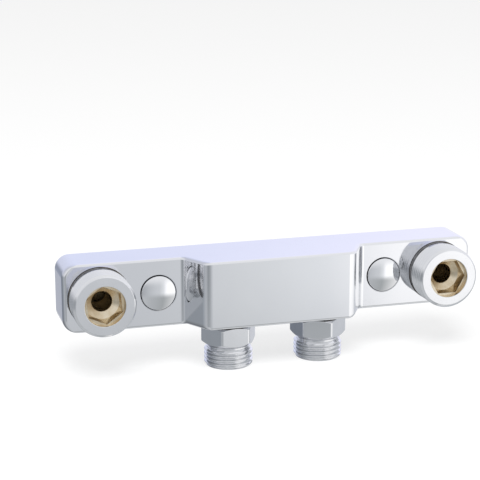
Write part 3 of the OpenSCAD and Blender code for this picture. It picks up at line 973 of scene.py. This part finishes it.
def makeMetal(name):
    look = metals[name]
    material, tree, shader, place, edge = newMaterial(name)
    tone = useGroup(tree, "drift", -800, 300, Vector=place, Scale=look["drift"],
                    Light=look["light"], Dark=look["dark"])
    lines = useGroup(tree, "hairlines", -800, 0, Vector=place, Scale=look["lines"], Amount=look["amount"])
    worn = useGroup(tree, "wornRoughness", -450, 0, Clean=look["clean"], Scratches=lines.outputs["Scratches"],
                    Smears=lines.outputs["Smears"], Edge=edge, Smear_Gain=look["smear"],
                    Scratch_Gain=look["scratch"], Edge_Gain=look["edge"])
    wave = noiseNode(tree, -800, -500, place, look["wave"], 2.0)
    height = mathNode(tree, "SUBTRACT", -400, -400, mathNode(tree, "MULTIPLY", -600, -500, wave, look["waveHeight"]),
                      mathNode(tree, "MULTIPLY", -600, -350, lines.outputs["Scratches"], look["lineHeight"]))
    bump = addNode(tree, "ShaderNodeBump", -200, -400)
    bump.inputs["Strength"].default_value = 0.25
    bump.inputs["Distance"].default_value = mm
    tree.links.new(height, bump.inputs["Height"])
    shader.inputs["Metallic"].default_value = 1.0
    tree.links.new(tone.outputs["Color"], shader.inputs["Base Color"])
    tree.links.new(worn.outputs["Roughness"], shader.inputs["Roughness"])
    tree.links.new(bump.outputs["Normal"], shader.inputs["Normal"])
    return material


softs = {
    "fibreSeal": {"light": (0.2, 0.2, 0.21, 1), "dark": (0.11, 0.11, 0.115, 1), "drift": 500.0, "clean": 0.6,
                  "grain": 1400.0, "height": 0.05},
    "blackRubber": {"light": (0.045, 0.045, 0.045, 1), "dark": (0.02, 0.02, 0.02, 1), "drift": 250.0, "clean": 0.42,
                    "grain": 2200.0, "height": 0.015},
}


def makeSoft(name):
    look = softs[name]
    material, tree, shader, place, edge = newMaterial(name)
    tone = useGroup(tree, "drift", -800, 300, Vector=place, Scale=look["drift"],
                    Light=look["light"], Dark=look["dark"])
    worn = useGroup(tree, "wornRoughness", -450, 0, Clean=look["clean"], Smears=tone.outputs["Mask"], Edge=edge,
                    Smear_Gain=0.12, Edge_Gain=-0.1)
    grain = noiseNode(tree, -800, -400, place, look["grain"], 3.0)
    bump = addNode(tree, "ShaderNodeBump", -200, -400)
    bump.inputs["Strength"].default_value = 0.5
    bump.inputs["Distance"].default_value = mm
    tree.links.new(mathNode(tree, "MULTIPLY", -500, -400, grain, look["height"]), bump.inputs["Height"])
    tree.links.new(tone.outputs["Color"], shader.inputs["Base Color"])
    tree.links.new(worn.outputs["Roughness"], shader.inputs["Roughness"])
    tree.links.new(bump.outputs["Normal"], shader.inputs["Normal"])
    return material


materials = {name: makeMetal(name) for name in metals}
materials.update({name: makeSoft(name) for name in softs})
print("materials made:", len(materials))


# Every piece stands for the solid of the same name
def showPiece(skin, node, slot, *finishes):
    name = "".join(word.capitalize() if i else word for i, word in enumerate(node.split("_")))
    piece = skinToObject(skin, name, [materials[finish] for finish in finishes])
    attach(piece, "root")
    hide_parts(node)
    print("made", name, len(piece.data.polygons), "faces")
    return piece


showPiece(makeBody(), "bracket_body", "chrome_casting", "chromeCasting", "castBrass")
for side, sign in sides.items():
    front = onFront(sign * body["outletSpacing"] / 2, -body["barDepth"])
    under = underBlock(sign * body["inletSpacing"] / 2, -body["inletSetback"], -halfHeight)
    gap = seal["gap"]
    showPiece(makeOutletNipple(side), "outlet_nipple_" + side, "chrome_nipple", "chromeTurned", "bareBrass")
    showPiece(makeInletNipple(side), "inlet_nipple_" + side, "chrome_nipple", "chromeTurned", "bareBrass")
    showPiece(makeSeal(front, outlet["stub"] + seal["stubGap"], body["outletSeat"][0] - gap),
              "outlet_seal_" + side, "seal", "fibreSeal")
    showPiece(makeSeal(under, inlet["stub"] + seal["stubGap"], body["inletSeat"][0] - gap),
              "inlet_seal_" + side, "seal", "fibreSeal")
    showPiece(makeCap(side), "screw_cap_" + side, "chrome_cap", "chromeCap")
    showPiece(makeCapRing(side), "cap_ring_" + side, "rubber_ring", "blackRubber")


# Studio: a pale floor under the inlets, a soft lamp and surroundings that the chrome mirrors
studio = {
    "floorSize": 6.0,
    "floorTone": 0.4,
    "floorLift": 0.66,
    "lampSize": 0.9,
    "lampPower": 14.0,
    "lampSpot": (-0.25, -0.75, 1.25),
    "fill": 0.55,
    "gain": 1.3,
    "levelBand": (-7.0, 7.0),       # elevations between the low and the high surroundings
    "tableBand": (-15.0, -24.0),    # elevations between the low surroundings and the table
}

# Brightness by the compass: degrees from the object's front towards its right
lowSurroundings = {
    -180: (0.85, 0.86, 0.9), -168: (0.34, 0.37, 0.46), -150: (0.22, 0.25, 0.31), -120: (0.24, 0.26, 0.29),
    -95: (0.36, 0.39, 0.43), -60: (0.5, 0.52, 0.55), -35: (0.3, 0.32, 0.34), -15: (0.4, 0.42, 0.44),
    0: (0.58, 0.6, 0.63), 9: (0.66, 0.68, 0.71), 13: (0.67, 0.69, 0.72), 16: (0.75, 0.77, 0.79),
    20: (0.87, 0.89, 0.92), 22: (1.1, 1.1, 1.12), 26: (1.28, 1.28, 1.28), 70: (1.15, 1.15, 1.15),
    100: (0.7, 0.72, 0.76), 136: (0.6, 0.62, 0.68), 160: (1.0, 1.0, 1.05), 180: (0.85, 0.86, 0.9),
}
highSurroundings = {
    -180: (0.78, 0.82, 1.02), -160: (0.7, 0.73, 0.88), -120: (0.6, 0.62, 0.7), -60: (0.84, 0.85, 0.88),
    0: (0.88, 0.89, 0.91), 60: (0.95, 0.96, 0.98), 120: (0.95, 0.96, 1.04), 155: (0.97, 0.97, 1.16),
    170: (0.8, 0.84, 1.05), 180: (0.78, 0.82, 1.02),
}
tableTones = {
    -180: (0.6, 0.61, 0.64), -140: (0.14, 0.15, 0.17), -100: (0.3, 0.32, 0.34), -60: (0.5, 0.52, 0.54),
    -20: (0.62, 0.64, 0.66), 0: (0.5, 0.52, 0.54), 20: (0.42, 0.44, 0.45), 45: (0.9, 0.9, 0.9),
    100: (0.5, 0.53, 0.56), 140: (0.65, 0.67, 0.7), 180: (0.6, 0.61, 0.64),
}


def compassRamp(tree, x, y, turn, tones):
    ramp = addNode(tree, "ShaderNodeValToRGB", x, y)
    stops = sorted(tones.items())
    elements = ramp.color_ramp.elements
    while len(elements) < len(stops):
        elements.new(0.5)
    for element, (angle, tone) in zip(elements, stops):
        element.position = (angle + 180) / 360
        element.color = [c / studio["gain"] for c in tone] + [1.0]
    tree.links.new(turn, ramp.inputs[0])
    return ramp.outputs[0]


def mixColours(tree, x, y, share, first, second):
    blend = addNode(tree, "ShaderNodeMix", x, y, data_type="RGBA")
    tree.links.new(share, blend.inputs["Factor"])
    tree.links.new(first, blend.inputs["A"])
    tree.links.new(second, blend.inputs["B"])
    return blend.outputs["Result"]


def makeSurroundings():
    world = bpy.data.worlds.new("studio")
    bpy.context.scene.world = world
    world.use_nodes = True
    tree = world.node_tree
    tree.nodes.clear()
    way = addNode(tree, "ShaderNodeSeparateXYZ", -1200, 0)
    tree.links.new(addNode(tree, "ShaderNodeTexCoord", -1400, 0).outputs["Generated"], way.inputs[0])
    front = mathNode(tree, "MULTIPLY", -1000, -100, way.outputs["Y"], -1.0)
    turn = mathNode(tree, "ARCTAN2", -850, 0, way.outputs["X"], front)
    turn = mathNode(tree, "ADD", -550, 0, mathNode(tree, "MULTIPLY", -700, 0, turn, 1 / (2 * math.pi)), 0.5)
    low = compassRamp(tree, -350, 300, turn, lowSurroundings)
    high = compassRamp(tree, -350, 0, turn, highSurroundings)
    table = compassRamp(tree, -350, -300, turn, tableTones)
    upwards = [math.sin(math.radians(a)) for a in studio["levelBand"]]
    downwards = [-math.sin(math.radians(a)) for a in studio["tableBand"]]
    lifted = mapNode(tree, -350, 500, way.outputs["Z"], upwards[0], upwards[1])
    sunk = mapNode(tree, -350, 700, mathNode(tree, "MULTIPLY", -550, 700, way.outputs["Z"], -1.0),
                   downwards[0], downwards[1])
    mirror = mixColours(tree, 250, 200, sunk, mixColours(tree, 0, 200, lifted, low, high), table)
    mirrored = addNode(tree, "ShaderNodeBackground", 500, 200)
    mirrored.inputs["Strength"].default_value = studio["gain"]
    tree.links.new(mirror, mirrored.inputs["Color"])
    plain = addNode(tree, "ShaderNodeBackground", 500, 0)
    plain.inputs["Color"].default_value = (1.0, 1.0, 1.0, 1.0)
    plain.inputs["Strength"].default_value = studio["fill"]
    shown = addNode(tree, "ShaderNodeBackground", 500, -200)
    shown.inputs["Color"].default_value = (1.0, 1.0, 1.0, 1.0)
    shown.inputs["Strength"].default_value = 1.0
    ray = addNode(tree, "ShaderNodeLightPath", 500, 600)
    seen = mathNode(tree, "MAXIMUM", 700, 500, ray.outputs["Is Glossy Ray"], ray.outputs["Is Transmission Ray"])
    first = addNode(tree, "ShaderNodeMixShader", 800, 200)
    tree.links.new(seen, first.inputs[0])
    tree.links.new(plain.outputs[0], first.inputs[1])
    tree.links.new(mirrored.outputs[0], first.inputs[2])
    second = addNode(tree, "ShaderNodeMixShader", 1000, 100)
    tree.links.new(ray.outputs["Is Camera Ray"], second.inputs[0])
    tree.links.new(first.outputs[0], second.inputs[1])
    tree.links.new(shown.outputs[0], second.inputs[2])
    out = addNode(tree, "ShaderNodeOutputWorld", 1200, 100)
    tree.links.new(second.outputs[0], out.inputs["Surface"])


def makeFloor():
    size = studio["floorSize"] / 2
    level = inletLow.z
    mesh = bpy.data.meshes.new("floor")
    mesh.from_pydata([(-size, -size, level), (size, -size, level), (size, size, level), (-size, size, level)], [],
                     [(0, 1, 2, 3)])
    floor = bpy.data.objects.new("floor", mesh)
    bpy.context.scene.collection.objects.link(floor)
    floor.visible_glossy = False
    material = bpy.data.materials.new("paleFloor")
    material.use_nodes = True
    tree = material.node_tree
    tree.nodes.clear()
    tone = studio["floorTone"]
    dull = addNode(tree, "ShaderNodeBsdfDiffuse", 0, 0)
    dull.inputs["Color"].default_value = (tone, tone, tone, 1.0)
    glow = addNode(tree, "ShaderNodeEmission", 0, -200)
    glow.inputs["Color"].default_value = (1.0, 1.0, 1.0, 1.0)
    ray = addNode(tree, "ShaderNodeLightPath", -600, -200)
    seen = mathNode(tree, "MAXIMUM", -400, -200, ray.outputs["Is Camera Ray"],
                    mathNode(tree, "MAXIMUM", -500, -300, ray.outputs["Is Glossy Ray"],
                             ray.outputs["Is Transmission Ray"]))
    tree.links.new(mathNode(tree, "MULTIPLY", -200, -200, seen, studio["floorLift"]), glow.inputs["Strength"])
    both = addNode(tree, "ShaderNodeAddShader", 200, -100)
    tree.links.new(dull.outputs[0], both.inputs[0])
    tree.links.new(glow.outputs[0], both.inputs[1])
    out = addNode(tree, "ShaderNodeOutputMaterial", 400, -100)
    tree.links.new(both.outputs[0], out.inputs["Surface"])
    mesh.materials.append(material)


def makeLamp():
    lamp = bpy.data.lights.new("softLamp", "AREA")
    lamp.shape = "DISK"
    lamp.size = studio["lampSize"]
    lamp.energy = studio["lampPower"]
    holder = bpy.data.objects.new("softLamp", lamp)
    holder.location = studio["lampSpot"]
    holder.rotation_euler = (-Vector(studio["lampSpot"])).to_track_quat("-Z", "Y").to_euler()
    holder.visible_glossy = False
    bpy.context.scene.collection.objects.link(holder)


makeSurroundings()
makeFloor()
makeLamp()
print("studio made")

# Camera where the photograph was taken from, the picture 480 by 480
camera = {
    "spot": (-0.18180, -0.59286, 0.17559),
    "way": (0.270005, 0.929509, -0.251219),
    "sensor": 36.0,
    "picture": 480,
    "focal": 1478.25,             # focal length in picture pixels
}
lens = bpy.data.cameras.new("camera")
lens.sensor_width = camera["sensor"]
lens.lens = camera["focal"] / camera["picture"] * camera["sensor"]
lens.clip_start = 0.01
lens.clip_end = 50.0
holder = bpy.data.objects.new("camera", lens)
holder.location = camera["spot"]
holder.rotation_euler = Vector(camera["way"]).to_track_quat("-Z", "Y").to_euler()
bpy.context.scene.collection.objects.link(holder)
bpy.context.scene.camera = holder
bpy.context.scene.view_settings.view_transform = "Standard"
